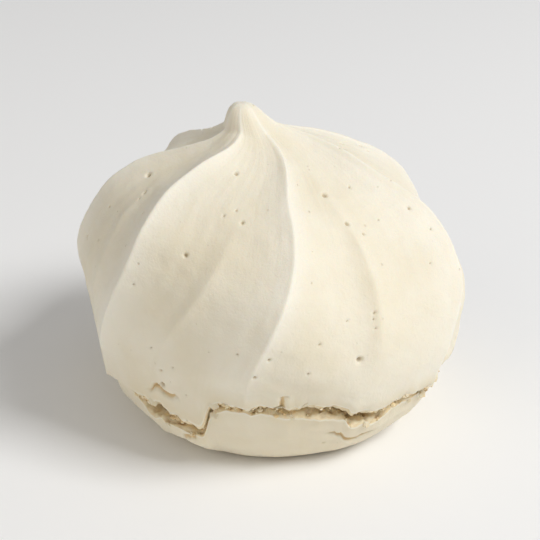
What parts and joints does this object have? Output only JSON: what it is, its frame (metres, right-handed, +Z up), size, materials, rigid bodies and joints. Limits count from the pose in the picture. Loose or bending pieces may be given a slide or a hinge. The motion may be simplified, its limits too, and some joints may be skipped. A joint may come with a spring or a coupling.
{
  "type": "meringue cookie",
  "caption": "Round baked meringue cookie, a ridged ivory dome swirled up to a soft tip, with a golden crack running round its foot and a flat underside.",
  "frame": {"origin": "middle of the bounding box on the flat underside, at z = 0", "axes": "+Z up through the swirled tip, -Y the front, where the crack stands open, +X to the right of the front"},
  "size_m": [0.0722, 0.0728, 0.06],
  "materials": {
    "meringue": "dry matt ivory baked crust, faintly powdery; lighter on the ridges, pale golden crumb inside the crack and a warmer underside"
  },
  "bodies": {
    "root": {"meringue": "meringue"}
  },
  "joints": []
}
